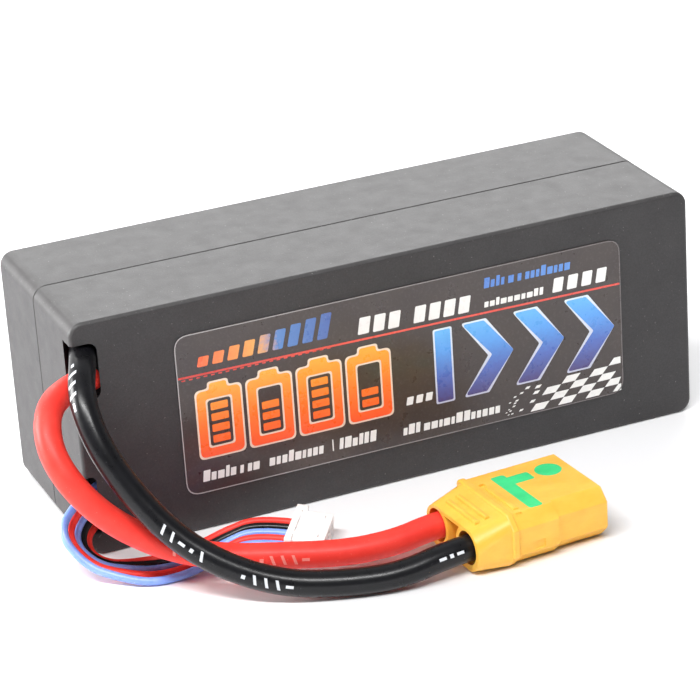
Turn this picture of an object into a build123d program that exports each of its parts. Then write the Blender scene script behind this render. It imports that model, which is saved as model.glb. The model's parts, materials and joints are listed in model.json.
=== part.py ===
"""Hard-case lithium polymer battery pack: four cells in series, two power leads and a balance lead.

Frame: millimetres, X along the case, -Y the labelled front, Z up. The origin is the middle of the
underside of the case, which stands on the floor together with its leads, connector and plug.
"""
from build123d import *
import math
import os

# ---------------------------------------------------------------- driving dimensions
CASE_LENGTH = 139.0
CASE_DEPTH = 46.0
CASE_HEIGHT = 51.5
WALL = 2.0
PROFILE_RADIUS = 3.0        # the four long corners, seen from the front
FACE_RADIUS = 0.8           # round where the front and rear faces meet the sides
CAVITY_RADIUS = 1.5
SEAM_CHAMFER = 0.3
LAP_DEPTH = 1.2             # tongue of the front shell into the rear shell
LAP_THICKNESS = 0.95
LAP_GAP = 0.1

# Lead openings at the front left corner: mouth and inner edge on X and on Y, then bottom, top, radius.
POWER_OPENING = ((-64.0, -61.5), (-18.3, -15.0), 34.6, 46.9, 1.9)
BALANCE_OPENING = ((-66.9, -65.0), (-18.6, -16.5), 4.0, 17.8, 1.2)

LABEL_LEFT, LABEL_RIGHT = -48.0, 53.0
LABEL_LOW, LABEL_HIGH = 8.5, 44.2
LABEL_THICKNESS = 0.25
LABEL_RADIUS = 3.2

CELL_COUNT = 4
CELL_THICKNESS = 11.2
CELL_WIDTH = 41.0
CELL_LEFT, CELL_RIGHT = -54.5, 65.5
CELL_RADIUS = 1.6
TERRACE_LENGTH = 4.0        # sealed edge of the pouch that the tabs come out of
TERRACE_THICKNESS = 1.0
TERRACE_WIDTH = 38.0
SHEET = 0.5                 # insulating sheets
FOAM = 0.6
TAB_Y = 10.0
TAB_WIDTH = 9.0
TAB_THICKNESS = 0.4
TAB_FOLD = 5.0
TAB_GAP = 0.1

BOARD_OUTER = -61.0
BOARD_THICKNESS = 1.6
BOARD_WIDTH = 40.0
BOARD_LOW, BOARD_HIGH = 3.0, 48.8
GUIDE_LOW, GUIDE_HIGH = 20.0, 32.0      # ribs in the shells that hold the board
GUIDE_THICKNESS = 1.1
GUIDE_GAP = 0.05
LINK_THICKNESS = 0.5
LINK_MARGIN = 0.6

POWER_DIAMETER = 5.5
POWER_CORE = 3.4
BALANCE_DIAMETER = 1.7
BALANCE_CORE = 0.9
BALANCE_COUNT = 5
ARC_SHARE = 0.45            # share of the shorter run that an arc may take

CONNECTOR_X, CONNECTOR_Y = -5.7, -61.0      # rear end of the cap
CONNECTOR_TURN = 4.4
CONNECTOR_HALF_HEIGHT = 5.75
CONNECTOR_PITCH = 12.2
CAP_LENGTH = 7.6
CAP_DROP = 0.45             # how far the lead holes are below the contacts
CONNECTOR_LENGTH = 30.5
CUP_REAR = 5.6              # rear end of each contact, from the rear end of the cap
GUARD_DEPTH = 1.0           # how deep the green pieces sit in the housing

PLUG_X, PLUG_Y, PLUG_LIFT = -32.8, -40.0, 0.66      # the wires hold its rear end up a little
PLUG_TURN, PLUG_TILT = -33.0, 7.0
PLUG_PITCH = 2.5
PLUG_HEIGHT = 5.75
PLUG_DEPTH = 7.9
WIRE_DEPTH = 1.2            # how far each balance wire goes into the plug

# ---------------------------------------------------------------- derived dimensions
FRONT_Y = -CASE_DEPTH / 2
REAR_Y = CASE_DEPTH / 2
LEFT_X = -CASE_LENGTH / 2
RIGHT_X = CASE_LENGTH / 2
CAVITY_FRONT = FRONT_Y + WALL
CAVITY_LEFT = LEFT_X + WALL
CELL_STEP = CELL_THICKNESS + SHEET
CELL_BASE = WALL + FOAM
CELL_MIDDLES = [CELL_BASE + CELL_THICKNESS / 2 + index * CELL_STEP for index in range(CELL_COUNT)]
PLUG_WIRE_Z = PLUG_HEIGHT / 2
LANES = (-CONNECTOR_PITCH / 2, CONNECTOR_PITCH / 2)      # black and red, across the connector
CONNECTOR_PLACE = Pos(CONNECTOR_X, CONNECTOR_Y, CONNECTOR_HALF_HEIGHT) * Rot(0, 0, CONNECTOR_TURN)
PLUG_PLACE = Pos(PLUG_X, PLUG_Y, PLUG_LIFT) * Rot(0, 0, PLUG_TURN) * Rot(0, PLUG_TILT, 0)

# ---------------------------------------------------------------- lead routes, from case to plug
BLACK_ROUTE = [
    (-65.0, -16.5, 43.8), (-67.6, -24.5, 43.8), (-71.0, -32.0, 40.0), (-70.5, -38.5, 32.0),
    (-66.0, -43.5, 22.5), (-60.0, -49.5, 14.0), (-52.0, -55.5, 8.0), (-42.0, -60.5, 4.0),
    (-31.0, -64.5, 3.0), (-20.0, -67.4, 3.1), (-9.2, -67.39, 5.3), (0.35, -66.65, 5.3),
]
RED_ROUTE = [
    (-64.5, -19.3, 38.0), (-72.4, -23.0, 38.0), (-77.5, -28.5, 36.0), (-79.0, -34.5, 30.5),
    (-76.0, -39.0, 23.5), (-69.5, -40.5, 15.5), (-60.0, -43.5, 9.0), (-49.5, -46.5, 5.5),
    (-38.0, -50.6, 4.7), (-26.0, -54.7, 4.0), (-15.5, -56.0, 4.4), (-7.5, -55.02, 5.3),
    (-0.6, -54.49, 5.3),
]
# The five balance wires fan out between these two routes.
INNER_ROUTE = [
    (-63.0, -17.1, 6.0), (-69.6, -22.05, 6.0), (-71.0, -26.0, 2.8), (-68.0, -29.0, 0.9),
    (-63.0, -31.2, 0.9), (-56.0, -32.4, 0.9), (-49.0, -30.9, 1.1), (-42.3, -30.4, 2.7),
    (-35.86, -32.06, 4.4),
]
OUTER_ROUTE = [
    (-63.0, -17.1, 14.0), (-71.0, -23.1, 14.0), (-77.5, -28.0, 10.0), (-74.0, -33.5, 4.0),
    (-69.0, -37.2, 2.0), (-63.0, -41.5, 0.9), (-55.0, -41.6, 1.0), (-48.0, -40.6, 2.4),
    (-41.3, -40.4, 4.4),
]


# ---------------------------------------------------------------- helpers
def box(x_range, y_range, z_range):
    """A box between two coordinates on each axis."""
    sizes = [high - low for low, high in (x_range, y_range, z_range)]
    middles = [(low + high) / 2 for low, high in (x_range, y_range, z_range)]
    return Pos(*middles) * Box(*sizes)


def rod(start, end, diameter):
    """A round bar between two points."""
    axis = Vector(*end) - Vector(*start)
    plane = Plane(origin=start, z_dir=axis)
    return extrude(plane * Circle(diameter / 2), amount=axis.length)


def rounded_bar(x_range, width, height, radius):
    """A bar along the X axis with its four long edges rounded."""
    plane = Plane(origin=(x_range[0], 0, 0), x_dir=(0, 1, 0), z_dir=(1, 0, 0))
    return extrude(plane * RectangleRounded(width, height, radius), amount=x_range[1] - x_range[0])


def write(node, shape):
    """Write one node as one STEP file."""
    export_step(shape, f"parts/{node}.step")


def group(shapes):
    """Separate solids that share one node."""
    return Compound(children=[solid for shape in shapes for solid in shape.solids()])


# ---------------------------------------------------------------- case
def case_block(margin, y_range, corner_radius):
    """The case outline seen from the front, grown by margin and stretched between two depths."""
    middle = (0, y_range[0], CASE_HEIGHT / 2)
    plane = Plane(origin=middle, x_dir=(1, 0, 0), z_dir=(0, 1, 0))
    outline = RectangleRounded(CASE_LENGTH + 2 * margin, CASE_HEIGHT + 2 * margin, corner_radius)
    return extrude(plane * outline, amount=y_range[1] - y_range[0])


def half_shell(side):
    """One half of the case, hollowed out: side -1 is the front, +1 the rear."""
    outer = case_block(0, sorted((0, side * REAR_Y)), PROFILE_RADIUS)
    face_y = side * REAR_Y
    face_edges = outer.edges().filter_by_position(Axis.Y, face_y - 0.01, face_y + 0.01)
    outer = fillet(face_edges, FACE_RADIUS)
    seam_edges = outer.edges().filter_by_position(Axis.Y, -0.01, 0.01)
    outer = chamfer(seam_edges, SEAM_CHAMFER)
    cavity_end = side * (REAR_Y - WALL)
    return outer - case_block(-WALL, sorted((0, cavity_end)), CAVITY_RADIUS)


def front_opening(mouth_x, inner_x, low, high, radius):
    """What lies left of a lead opening's right-hand side, which flares through the front wall."""
    beyond = LEFT_X - 6.0

    def section(right_x, y):
        middle = ((beyond + right_x) / 2, y, (low + high) / 2)
        plane = Plane(origin=middle, x_dir=(1, 0, 0), z_dir=(0, 1, 0))
        return plane * RectangleRounded(right_x - beyond, high - low, radius)

    outside = extrude(section(mouth_x, FRONT_Y - 3.0), amount=3.0)
    wall = loft([section(mouth_x, FRONT_Y), section(inner_x, CAVITY_FRONT)])
    inside = extrude(section(inner_x, CAVITY_FRONT), amount=10.0)
    return outside + wall + inside


def side_opening(mouth_y, inner_y):
    """What lies in front of a lead opening's rear side, which flares through the end wall."""
    inside_x = CAVITY_LEFT + 15.0
    outside_x = LEFT_X - 3.0
    outside_y = FRONT_Y - 6.0
    outline = Polyline(
        (outside_x, outside_y), (inside_x, outside_y), (inside_x, inner_y),
        (CAVITY_LEFT, inner_y), (LEFT_X, mouth_y), (outside_x, mouth_y), close=True,
    )
    return extrude(make_face(outline), amount=CASE_HEIGHT)


def lead_opening(front_x, side_y, low, high, radius):
    """A corner opening: front_x and side_y each give the mouth and the inner edge."""
    return front_opening(*front_x, low, high, radius) & side_opening(*side_y)


def board_guides(side):
    """Two ribs inside a shell that hold one edge of the tab board."""
    inner_face = side * (REAR_Y - WALL)
    rib_tip = side * (BOARD_WIDTH / 2 - 0.4)
    depth = sorted((inner_face + side * 0.5, rib_tip))
    outer_end = BOARD_OUTER - GUIDE_GAP
    inner_end = BOARD_OUTER + BOARD_THICKNESS + GUIDE_GAP
    ribs = []
    for rib_x in ((outer_end - GUIDE_THICKNESS, outer_end), (inner_end, inner_end + GUIDE_THICKNESS)):
        ribs.append(box(rib_x, depth, (GUIDE_LOW, GUIDE_HIGH)))
    return ribs


def case_front_shell():
    """The front shell, with its tongue, the two lead openings and the board ribs."""
    shell = half_shell(-1)
    tongue_margin = LAP_THICKNESS - WALL
    tongue = case_block(tongue_margin, (-0.6, LAP_DEPTH), CAVITY_RADIUS + LAP_THICKNESS)
    tongue -= case_block(-WALL, (-1.0, LAP_DEPTH + 1.0), CAVITY_RADIUS)
    shell += tongue
    for rib in board_guides(-1):
        shell += rib
    shell -= lead_opening(*POWER_OPENING)
    shell -= lead_opening(*BALANCE_OPENING)
    return shell


def case_rear_shell():
    """The rear shell, with the groove for the tongue and the board ribs."""
    shell = half_shell(1)
    groove_margin = LAP_THICKNESS + LAP_GAP - WALL
    groove_radius = CAVITY_RADIUS + LAP_THICKNESS + LAP_GAP
    shell -= case_block(groove_margin, (-1.0, LAP_DEPTH + LAP_GAP), groove_radius)
    for rib in board_guides(1):
        shell += rib
    return shell


def front_label():
    """The printed film on the front face."""
    middle = ((LABEL_LEFT + LABEL_RIGHT) / 2, FRONT_Y, (LABEL_LOW + LABEL_HIGH) / 2)
    plane = Plane(origin=middle, x_dir=(1, 0, 0), z_dir=(0, -1, 0))
    outline = RectangleRounded(LABEL_RIGHT - LABEL_LEFT, LABEL_HIGH - LABEL_LOW, LABEL_RADIUS)
    return extrude(plane * outline, amount=LABEL_THICKNESS)


# ---------------------------------------------------------------- cells and their packing
def cell(middle_z):
    """One pouch cell with the sealed terrace at its tab end."""
    half = CELL_THICKNESS / 2
    body_y = (-CELL_WIDTH / 2, CELL_WIDTH / 2)
    body = box((CELL_LEFT, CELL_RIGHT), body_y, (middle_z - half, middle_z + half))
    body = fillet(body.edges(), CELL_RADIUS)
    terrace_y = (-TERRACE_WIDTH / 2, TERRACE_WIDTH / 2)
    terrace_z = (middle_z - TERRACE_THICKNESS / 2, middle_z + TERRACE_THICKNESS / 2)
    return body + box((CELL_LEFT - TERRACE_LENGTH, CELL_LEFT + 1.0), terrace_y, terrace_z)


def tab(middle_z, side, fold):
    """A cell's tab: through the board, then folded up (+1) or down (-1) against its outer face."""
    tab_y = (side * TAB_Y - TAB_WIDTH / 2, side * TAB_Y + TAB_WIDTH / 2)
    half = TAB_THICKNESS / 2
    outer_x = BOARD_OUTER - TAB_THICKNESS
    flat = box((outer_x, CELL_LEFT - TERRACE_LENGTH), tab_y, (middle_z - half, middle_z + half))
    fold_z = sorted((middle_z - fold * half, middle_z + fold * TAB_FOLD))
    return flat + box((outer_x, BOARD_OUTER), tab_y, fold_z)


def tab_layout():
    """Side and fold of each cell's positive and negative tab. Every second cell is turned over."""
    positive, negative = [], []
    for index, middle_z in enumerate(CELL_MIDDLES):
        turned = 1 if index % 2 else -1
        positive.append((middle_z, turned, 1 if index == 0 else -1))
        negative.append((middle_z, -turned, 1))
    return positive, negative


def series_links():
    """The three plates that join neighbouring cells' folded tabs."""
    links = []
    for index in range(CELL_COUNT - 1):
        side = 1 if index % 2 == 0 else -1
        low = CELL_MIDDLES[index] + LINK_MARGIN
        high = CELL_MIDDLES[index + 1] - LINK_MARGIN
        outer_x = BOARD_OUTER - TAB_THICKNESS
        link_y = (side * TAB_Y - TAB_WIDTH / 2 + 0.5, side * TAB_Y + TAB_WIDTH / 2 - 0.5)
        link = box((outer_x - LINK_THICKNESS, outer_x), link_y, (low, high))
        links.append(fillet(link.edges().filter_by(Axis.X), 0.8))
    return group(links)


def tab_board():
    """The board that carries the folded tabs, slotted where each tab passes through."""
    middle = (BOARD_OUTER, 0, (BOARD_LOW + BOARD_HIGH) / 2)
    plane = Plane(origin=middle, x_dir=(0, 1, 0), z_dir=(1, 0, 0))
    outline = RectangleRounded(BOARD_WIDTH, BOARD_HIGH - BOARD_LOW, 1.0)
    board = extrude(plane * outline, amount=BOARD_THICKNESS)
    half_slot = TAB_THICKNESS / 2 + TAB_GAP
    for middle_z in CELL_MIDDLES:
        slot_z = (middle_z - half_slot, middle_z + half_slot)
        for side in (-1, 1):
            slot_y = (side * TAB_Y - TAB_WIDTH / 2 - TAB_GAP, side * TAB_Y + TAB_WIDTH / 2 + TAB_GAP)
            board -= box((BOARD_OUTER - 1, BOARD_OUTER + 3), slot_y, slot_z)
    return board


def separators():
    """Insulating sheets between the cells."""
    sheets = []
    for middle_z in CELL_MIDDLES[:-1]:
        low = middle_z + CELL_THICKNESS / 2
        sheets.append(box((CELL_LEFT + 1, CELL_RIGHT - 1), (-20.0, 20.0), (low, low + SHEET)))
    return group(sheets)


def side_sheet(side):
    """The insulating sheet between the cells and the front (-1) or rear (+1) of the case."""
    y_range = sorted((side * CELL_WIDTH / 2, side * (CELL_WIDTH / 2 + SHEET)))
    return box((CELL_LEFT - 3.0, CELL_RIGHT + 1.0), y_range, (3.0, 48.5))


def foam_pad(low_z):
    """A foam sheet over or under the stack of cells."""
    return box((CELL_LEFT + 1, CELL_RIGHT - 1.5), (-19.0, 19.0), (low_z, low_z + FOAM))


# ---------------------------------------------------------------- leads
def route_radii(points):
    """The largest arc at each corner that its two runs allow."""
    corners = [Vector(*point) for point in points]
    runs = [after - before for before, after in zip(corners, corners[1:])]
    radii = []
    for run_in, run_out in zip(runs, runs[1:]):
        half_turn = math.radians(run_in.get_angle(run_out)) / 2
        radii.append(ARC_SHARE * min(run_in.length, run_out.length) / math.tan(half_turn))
    return radii


def lead(node, points, diameter):
    """A round lead: straight runs joined by tangent arcs."""
    radii = route_radii(points)
    path = FilletPolyline(*points, radius=radii)
    section = Plane(origin=path @ 0, z_dir=path % 0) * Circle(diameter / 2)
    tube = sweep(section, path=path)
    ideal = math.pi * diameter ** 2 / 4 * path.length
    print(node, "length", round(path.length, 1), "radii", [round(radius, 1) for radius in radii])
    print(node, "smallest radius in diameters", round(min(radii) / diameter, 2), end=" ")
    print("volume over section times length", round(tube.volume / ideal, 4))
    return tube


def plug_point(x, y, z):
    """A point given in the balance plug's own frame: x towards its mating face."""
    place = (PLUG_PLACE * Pos(x, y, z)).position
    return (place.X, place.Y, place.Z)


def balance_route(index):
    """The route of one balance wire, 0 the innermost, and its end in the plug."""
    share = index / (BALANCE_COUNT - 1)
    route = []
    for inner, outer in zip(INNER_ROUTE, OUTER_ROUTE):
        route.append(tuple(low + (high - low) * share for low, high in zip(inner, outer)))
    route.append(plug_point(WIRE_DEPTH, wire_y(index), PLUG_WIRE_Z))
    return route


def wire_y(index):
    """Where a balance wire enters the plug, across its length."""
    return PLUG_PITCH * ((BALANCE_COUNT - 1) / 2 - index)


def core(route, length, diameter):
    """The bare end of a lead inside the case, in line with its first run."""
    start = Vector(*route[0])
    back = (start - Vector(*route[1])).normalized()
    end = start + back * length
    return rod((start.X, start.Y, start.Z), (end.X, end.Y, end.Z), diameter)


# ---------------------------------------------------------------- connector
# Everything here is in the connector's own frame: X forward from the rear end of its cap, Y across, Z up.
def connector_rods(x_range, diameter, z=0.0):
    """A round bar on each contact's axis."""
    return [rod((x_range[0], lane, z), (x_range[1], lane, z), diameter) for lane in LANES]


BODY_WIDTH, BODY_HEIGHT = 22.0, 10.9
BEAD_END = 9.3
SPIGOT_WIDTH, SPIGOT_HEIGHT, SPIGOT_END = 19.0, 8.4, 9.2
NEAR_CUT = 2.6              # size of the two corners cut off on the near side, for polarity


def cut_profile(width, height, cut, radius):
    """A rectangle with two corners cut off on the near side and two rounded on the far side."""
    near, far, half_height = -width / 2, width / 2, height / 2
    corners = [(near + cut, -half_height), (far, -half_height), (far, half_height)]
    corners += [(near + cut, half_height), (near, half_height - cut), (near, cut - half_height)]
    outline = make_face(Polyline(*corners, close=True))
    far_corners = outline.vertices().filter_by_position(Axis.X, far - 0.1, far + 0.1)
    outline = fillet(far_corners, radius)
    near_corners = outline.vertices().filter_by_position(Axis.X, near - 0.1, near + cut + 0.1)
    return fillet(near_corners, 0.5)


def cut_bar(x_range, width, height, cut, radius):
    """A bar with that section between two distances from the rear end."""
    plane = Plane(origin=(x_range[0], 0, 0), x_dir=(0, 1, 0), z_dir=(1, 0, 0))
    return extrude(plane * cut_profile(width, height, cut, radius), amount=x_range[1] - x_range[0])


def connector_rear_cap():
    """The cap over the soldered leads, with a spigot that fits into the housing."""
    rear = Plane(origin=(0, 0, -0.8), x_dir=(0, 1, 0), z_dir=(1, 0, 0)) * RectangleRounded(21.2, 9.0, 4.2)
    front = Plane(origin=(CAP_LENGTH, 0, 0), x_dir=(0, 1, 0), z_dir=(1, 0, 0))
    cap = loft([rear, front * RectangleRounded(BODY_WIDTH, BODY_HEIGHT, 2.6)])
    recess = box((-1.0, 3.6), (-3.4, 3.4), (-7.0, 2.9))
    for sleeve in connector_rods((-2.0, 5.0), 9.0, -CAP_DROP):
        recess -= sleeve
    cap -= recess
    for rib_x, rib_top in ((2.4, 4.95), (4.7, 5.4)):
        rib = box((rib_x - 0.5, rib_x + 0.5), (-6.4, 5.6), (2.0, rib_top))
        cap += fillet(rib.faces().sort_by(Axis.Z)[-1].edges(), 0.3)
    cap += rounded_bar((CAP_LENGTH - 0.5, SPIGOT_END), SPIGOT_WIDTH, SPIGOT_HEIGHT, 2.0)
    for sleeve in connector_rods((-1.0, CUP_REAR), 7.1, -CAP_DROP):
        cap -= sleeve
    for bore in connector_rods((CUP_REAR - 0.6, SPIGOT_END + 1.0), 6.1):
        cap -= bore
    return cap


def spark_guard():
    """The T and the dot that are let into the top of the housing."""
    top = BODY_HEIGHT / 2
    z_range = (top - GUARD_DEPTH, top)
    bar = box((13.5, 16.6), (-8.3, 7.8), z_range)
    bar = fillet(bar.edges().filter_by(Axis.Z), 0.6)
    stub = box((16.0, 21.3), (2.8, 6.3), z_range)
    stub = fillet(stub.edges().filter_by(Axis.Z).sort_by(Axis.X)[-2:], 0.6)
    dot = extrude(Plane(origin=(25.4, 4.7, z_range[0])) * Circle(2.8), amount=GUARD_DEPTH)
    return bar + stub, dot


def connector_housing():
    """The housing around the two contacts: rear body, bead and mating end."""
    bead = cut_bar((CAP_LENGTH, BEAD_END), BODY_WIDTH + 0.9, 2 * CONNECTOR_HALF_HEIGHT, 2.8, 1.2)
    bead = fillet(bead.faces().sort_by(Axis.X)[0].outer_wire().edges(), 0.45)
    bead = fillet(bead.faces().sort_by(Axis.X)[-1].outer_wire().edges(), 0.45)
    housing = bead + cut_bar((9.0, 18.5), BODY_WIDTH, BODY_HEIGHT, NEAR_CUT, 1.0)
    mating = cut_bar((18.0, CONNECTOR_LENGTH), BODY_WIDTH - 0.8, BODY_HEIGHT, NEAR_CUT, 1.0)
    front_edges = mating.faces().sort_by(Axis.X)[-1].outer_wire().edges()
    housing += Pos(0, 0.4, 0) * chamfer(front_edges, 0.4)
    housing -= rounded_bar((CAP_LENGTH - 1.0, SPIGOT_END + 0.1), SPIGOT_WIDTH + 0.2, SPIGOT_HEIGHT + 0.2, 2.1)
    for bore in connector_rods((9.0, CONNECTOR_LENGTH + 1.0), 5.7):
        housing -= bore
    for seat in connector_rods((9.0, 11.4), 6.6):
        housing -= seat
    housing -= box((13.0, 15.2), (-12.0, -10.75), (-2.4, -0.6))
    for dimple_y in (-9.2, 5.8):
        pit = box((10.0, 11.3), (dimple_y - 0.8, dimple_y + 0.8), (BODY_HEIGHT / 2 - 0.5, 6.0))
        housing -= pit
    strip = box((10.2, 11.5), (-7.2, 4.0), (4.0, BODY_HEIGHT / 2 + 0.4))
    housing += fillet(strip.faces().sort_by(Axis.Z)[-1].edges(), 0.3)
    for guard in spark_guard():
        housing -= guard
    return housing


def contact(lane):
    """A spring contact: solder cup at the rear, collar, and a split socket at the front."""
    def turned(x_range, diameter):
        return rod((x_range[0], lane, 0), (x_range[1], lane, 0), diameter)

    barrel = turned((CUP_REAR, CONNECTOR_LENGTH - 0.8), 5.6) + turned((10.2, 11.3), 6.5)
    barrel -= turned((CUP_REAR - 1.0, 10.4), 4.0)
    barrel -= turned((13.4, CONNECTOR_LENGTH), 4.5)
    barrel -= box((18.5, CONNECTOR_LENGTH), (lane - 0.25, lane + 0.25), (-4.0, 4.0))
    return barrel


# ---------------------------------------------------------------- balance plug
def plug_box(x_range, y_range, z_range):
    """A box in the balance plug's own frame."""
    return PLUG_PLACE * box(x_range, y_range, z_range)


def plug_rod(x_range, y, diameter):
    """A round bar along the balance plug's own X axis."""
    return rod(plug_point(x_range[0], y, PLUG_WIRE_Z), plug_point(x_range[1], y, PLUG_WIRE_Z), diameter)


def balance_plug_housing():
    """Five-way housing: rear flange, body, two keying ribs, wire holes, sockets and windows."""
    flange = box((0, 1.4), (-7.45, 7.45), (0, PLUG_HEIGHT))
    flange = fillet(flange.edges().filter_by(Axis.X), 0.4)
    ear = box((0, 2.4), (6.1, 7.45), (PLUG_HEIGHT - 1.3, PLUG_HEIGHT + 0.35))
    flange += fillet(ear.faces().sort_by(Axis.Z)[-1].edges(), 0.2)
    body = box((1.0, PLUG_DEPTH), (-6.65, 6.65), (0.35, PLUG_HEIGHT - 0.35))
    body = fillet(body.edges().filter_by(Axis.X), 0.5)
    housing = flange + body
    for rib_y in (-4.2, 4.2):
        housing += box((1.0, 6.4), (rib_y - 0.5, rib_y + 0.5), (PLUG_HEIGHT - 1.0, PLUG_HEIGHT))
    socket = 1.5
    for index in range(BALANCE_COUNT):
        middle = wire_y(index)
        z_range = (PLUG_WIRE_Z - socket / 2, PLUG_WIRE_Z + socket / 2)
        housing -= box((2.0, PLUG_DEPTH + 1), (middle - socket / 2, middle + socket / 2), z_range)
        housing -= box((3.0, 5.0), (middle - 0.6, middle + 0.6), (-1.0, PLUG_WIRE_Z))
        bore = rod((-1.0, middle, PLUG_WIRE_Z), (2.5, middle, PLUG_WIRE_Z), BALANCE_DIAMETER + 0.1)
        housing -= bore
    return PLUG_PLACE * housing


def balance_plug_terminals():
    """Five crimped terminals, each a square tube behind a round crimp."""
    terminals = []
    for index in range(BALANCE_COUNT):
        middle = wire_y(index)
        crimp = plug_rod((WIRE_DEPTH, 2.6), middle, 1.2)
        tube = plug_box((2.3, 7.0), (middle - 0.6, middle + 0.6), (PLUG_WIRE_Z - 0.6, PLUG_WIRE_Z + 0.6))
        tube -= plug_box((3.0, 8.0), (middle - 0.4, middle + 0.4), (PLUG_WIRE_Z - 0.4, PLUG_WIRE_Z + 0.4))
        terminals.append(crimp + tube)
    return group(terminals)


# ---------------------------------------------------------------- build
def build():
    """Make every sub-part and write it."""
    os.makedirs("parts", exist_ok=True)
    write("case_front_shell", case_front_shell())
    write("case_rear_shell", case_rear_shell())
    write("front_label", front_label())

    for index, middle_z in enumerate(CELL_MIDDLES):
        write(f"cell_{index + 1}", cell(middle_z))
    positive, negative = tab_layout()
    write("positive_tabs", group([tab(*place) for place in positive]))
    write("negative_tabs", group([tab(*place) for place in negative]))
    write("series_links", series_links())
    write("tab_board", tab_board())
    write("cell_separators", separators())
    write("front_insulating_sheet", side_sheet(-1))
    write("rear_insulating_sheet", side_sheet(1))
    write("bottom_foam_pad", foam_pad(WALL))
    write("top_foam_pad", foam_pad(CASE_HEIGHT - WALL - FOAM))
    write("end_foam_pad", box((CELL_RIGHT, RIGHT_X - WALL), (-19.0, 19.0), (4.0, 47.5)))

    black = lead("power_lead_black", BLACK_ROUTE, POWER_DIAMETER)
    red = lead("power_lead_red", RED_ROUTE, POWER_DIAMETER)
    write("power_lead_black", black)
    write("power_lead_red", red)
    black_core = core(BLACK_ROUTE, 3.6, POWER_CORE)
    red_core = core(RED_ROUTE, 1.5, POWER_CORE)
    cup_cores = [CONNECTOR_PLACE * bar for bar in connector_rods((CUP_REAR, 10.0), POWER_CORE)]
    negative_block = box((-66.0, BOARD_OUTER - TAB_THICKNESS), (-13.4, -7.0), (41.5, 46.2)) - black_core
    positive_block = box((-63.4, BOARD_OUTER), (-20.3, -15.5), (35.7, 40.3)) - red_core
    write("negative_terminal_block", negative_block)
    write("positive_terminal_block", positive_block)
    write("power_lead_core_ends", group([black_core, red_core] + cup_cores))
    seal = box((CAVITY_LEFT, -61.9), (CAVITY_FRONT, -14.2), (33.8, 47.8))
    seal -= box((-63.6, -60.0), (-20.6, -14.0), (35.5, 40.5))
    seal = seal - black - red - black_core - red_core
    write("power_lead_seal", seal.solids().sort_by(SortBy.VOLUME)[-1])

    wires = []
    cores = []
    joints = []
    for index in range(BALANCE_COUNT):
        route = balance_route(index)
        wire = lead(f"balance_lead_{index + 1}", route, BALANCE_DIAMETER)
        wire_core = core(route, 2.1, BALANCE_CORE)
        write(f"balance_lead_{index + 1}", wire)
        wires.append(wire)
        cores.append(wire_core)
        pad = (BOARD_OUTER, -15.6, route[0][2])
        dome = rod(pad, (BOARD_OUTER - 0.8, pad[1], pad[2]), BALANCE_DIAMETER)
        dome = chamfer(dome.edges().sort_by(Axis.X)[0], 0.3)
        joints.append(dome - wire_core)
    write("balance_core_ends", group(cores))
    write("balance_solder_joints", group(joints))
    seal = box((CAVITY_LEFT + 1.2, -62.6), (CAVITY_FRONT + 2.0, -15.2), (3.7, 18.6))
    for wire in wires + cores:
        seal -= wire
    write("balance_lead_seal", seal.solids().sort_by(SortBy.VOLUME)[-1])

    guard, dot = spark_guard()
    connector = {
        "connector_rear_cap": connector_rear_cap(),
        "connector_housing": connector_housing(),
        "connector_contact_negative": contact(LANES[0]),
        "connector_contact_positive": contact(LANES[1]),
        "spark_guard_insert": guard,
        "spark_guard_dot": dot,
    }
    for node, shape in connector.items():
        write(node, CONNECTOR_PLACE * shape)
    write("balance_plug_housing", balance_plug_housing())
    write("balance_plug_terminals", balance_plug_terminals())


build()
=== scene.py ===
"""Looks of the hard-case battery pack: leads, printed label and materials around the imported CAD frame."""
import json
import math
import random

import bmesh
import bpy
from mathutils import Matrix, Vector


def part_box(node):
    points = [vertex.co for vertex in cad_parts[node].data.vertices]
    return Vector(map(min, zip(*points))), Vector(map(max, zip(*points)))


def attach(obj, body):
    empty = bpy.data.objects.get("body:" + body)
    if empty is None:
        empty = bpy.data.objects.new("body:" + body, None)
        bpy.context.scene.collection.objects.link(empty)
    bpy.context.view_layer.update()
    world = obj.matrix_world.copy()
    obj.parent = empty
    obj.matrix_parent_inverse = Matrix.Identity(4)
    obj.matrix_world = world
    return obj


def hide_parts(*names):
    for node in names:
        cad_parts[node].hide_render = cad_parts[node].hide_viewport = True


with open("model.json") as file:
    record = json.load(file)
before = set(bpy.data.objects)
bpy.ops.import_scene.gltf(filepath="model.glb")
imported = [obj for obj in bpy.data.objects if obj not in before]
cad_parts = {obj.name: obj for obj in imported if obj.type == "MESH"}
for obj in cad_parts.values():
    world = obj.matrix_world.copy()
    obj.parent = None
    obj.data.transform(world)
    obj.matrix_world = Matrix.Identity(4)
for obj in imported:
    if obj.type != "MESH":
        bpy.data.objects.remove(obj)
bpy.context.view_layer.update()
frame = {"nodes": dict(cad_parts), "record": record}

MM = 0.001
nodes = frame["nodes"]


def mm(*values):
    """A point given in millimetres."""
    return Vector(values) * MM


# ------------------------------------------------------------------ camera
VIEW_AZIMUTH, VIEW_ELEVATION, VIEW_ROLL = -21.671, 23.604, -3.897
VIEW_TARGET = mm(0, 0, 24)
VIEW_OFFSET = mm(-0.502, -2.094, 681.884)
LENS, SENSOR_WIDTH = 163.16, 36
CLIP_START, CLIP_END = 0.01, 20


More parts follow.
